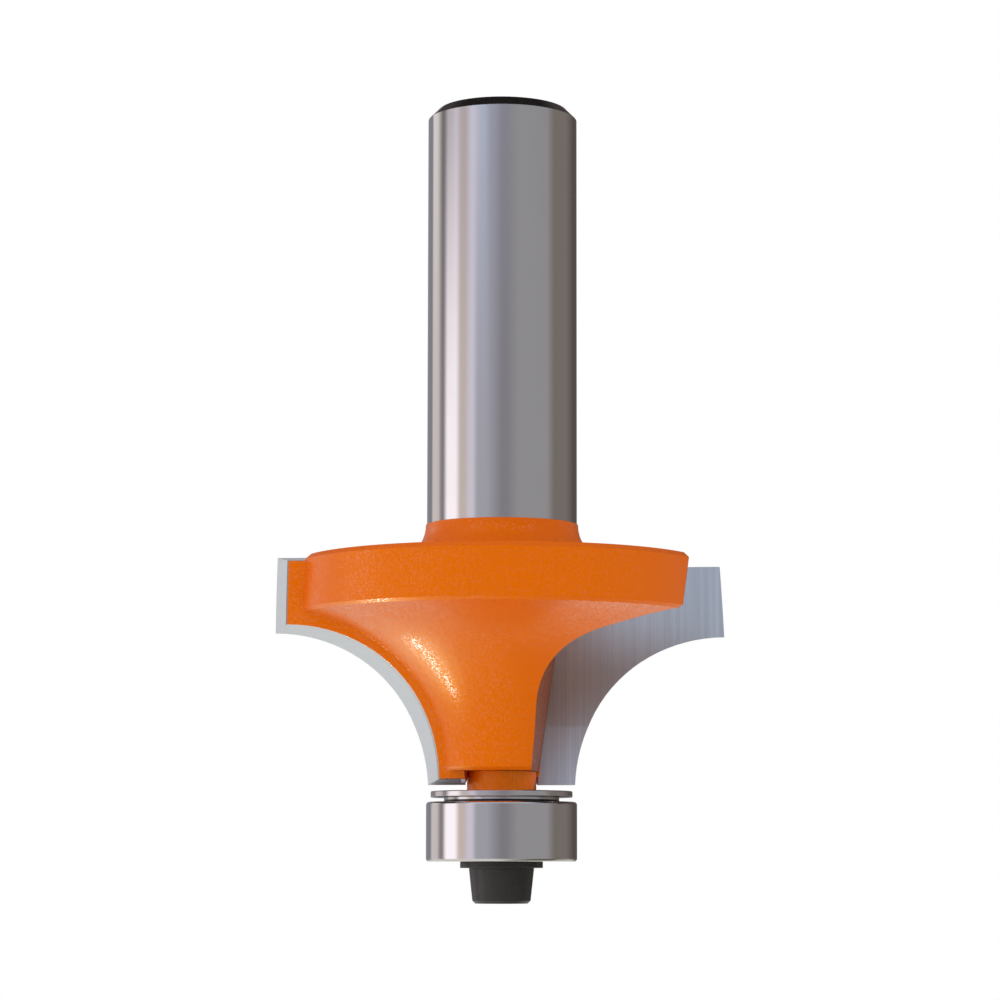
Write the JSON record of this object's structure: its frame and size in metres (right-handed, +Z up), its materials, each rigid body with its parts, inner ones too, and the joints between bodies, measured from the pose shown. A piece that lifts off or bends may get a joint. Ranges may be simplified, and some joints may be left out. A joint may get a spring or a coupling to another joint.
{
  "type": "round-over router bit",
  "caption": "Piloted round-over router bit: straight shank, coated round body with leaned chip gullets and brazed tips, and a shielded ball bearing under a stepped washer.",
  "frame": {"origin": "on the axis, where the bare shank meets the collar", "axes": "+Z runs up the shank; the cutting tips stand out towards +X and -X"},
  "size_m": [0.0378, 0.0346, 0.0676],
  "materials": {
    "coated_body": "satin orange coating on the body, bare brushed steel on the shank",
    "carbide": "ground",
    "dust_shield_steel": "turned, bright",
    "bearing_steel": "ground and polished",
    "shield_sheet": "pressed sheet",
    "spring_wire": "drawn wire",
    "cage_sheet": "pressed sheet",
    "ball_steel": "polished",
    "black_washer": "black oxide",
    "black_screw": "black oxide"
  },
  "bodies": {
    "tool": {"tool_body": "coated_body", "carbide_tip_1": "carbide", "carbide_tip_2": "carbide", "dust_shield": "dust_shield_steel", "bearing_inner_ring": "bearing_steel", "flat_washer": "black_washer", "retaining_screw": "black_screw"},
    "outer_ring": {"bearing_outer_ring": "bearing_steel", "bearing_shield_upper": "shield_sheet", "bearing_shield_lower": "shield_sheet", "shield_snap_ring_upper": "spring_wire", "shield_snap_ring_lower": "spring_wire"},
    "cage": {"bearing_cage_upper": "cage_sheet", "bearing_cage_lower": "cage_sheet"},
    "ball_1": {"bearing_ball_1": "ball_steel"},
    "ball_2": {"bearing_ball_2": "ball_steel"},
    "ball_3": {"bearing_ball_3": "ball_steel"},
    "ball_4": {"bearing_ball_4": "ball_steel"},
    "ball_5": {"bearing_ball_5": "ball_steel"},
    "ball_6": {"bearing_ball_6": "ball_steel"},
    "ball_7": {"bearing_ball_7": "ball_steel"}
  },
  "joints": [
    {"name": "outer_ring_spin", "type": "hinge", "parent": "tool", "child": "outer_ring", "pos_m": [0, 0, -0.02589], "axis": [0, 0, 1], "continuous": true},
    {"name": "cage_spin", "type": "hinge", "parent": "tool", "child": "cage", "pos_m": [0, 0, -0.02589], "axis": [0, 0, 1], "continuous": true},
    {"name": "ball_1_spin", "type": "hinge", "parent": "cage", "child": "ball_1", "pos_m": [0.00436, 0, -0.02589], "axis": [0, 0, 1], "continuous": true},
    {"name": "ball_2_spin", "type": "hinge", "parent": "cage", "child": "ball_2", "pos_m": [0.00272, 0.00341, -0.02589], "axis": [0, 0, 1], "continuous": true},
    {"name": "ball_3_spin", "type": "hinge", "parent": "cage", "child": "ball_3", "pos_m": [-0.00097, 0.00426, -0.02589], "axis": [0, 0, 1], "continuous": true},
    {"name": "ball_4_spin", "type": "hinge", "parent": "cage", "child": "ball_4", "pos_m": [-0.00393, 0.00189, -0.02589], "axis": [0, 0, 1], "continuous": true},
    {"name": "ball_5_spin", "type": "hinge", "parent": "cage", "child": "ball_5", "pos_m": [-0.00393, -0.00189, -0.02589], "axis": [0, 0, 1], "continuous": true},
    {"name": "ball_6_spin", "type": "hinge", "parent": "cage", "child": "ball_6", "pos_m": [-0.00097, -0.00426, -0.02589], "axis": [0, 0, 1], "continuous": true},
    {"name": "ball_7_spin", "type": "hinge", "parent": "cage", "child": "ball_7", "pos_m": [0.00272, -0.00341, -0.02589], "axis": [0, 0, 1], "continuous": true}
  ],
  "couplings": [
    {"joint": "cage_spin", "follows": "outer_ring_spin", "ratio": 0.63631},
    {"joint": "ball_1_spin", "follows": "outer_ring_spin", "ratio": 1.6977},
    {"joint": "ball_2_spin", "follows": "outer_ring_spin", "ratio": 1.6977},
    {"joint": "ball_3_spin", "follows": "outer_ring_spin", "ratio": 1.6977},
    {"joint": "ball_4_spin", "follows": "outer_ring_spin", "ratio": 1.6977},
    {"joint": "ball_5_spin", "follows": "outer_ring_spin", "ratio": 1.6977},
    {"joint": "ball_6_spin", "follows": "outer_ring_spin", "ratio": 1.6977},
    {"joint": "ball_7_spin", "follows": "outer_ring_spin", "ratio": 1.6977}
  ]
}
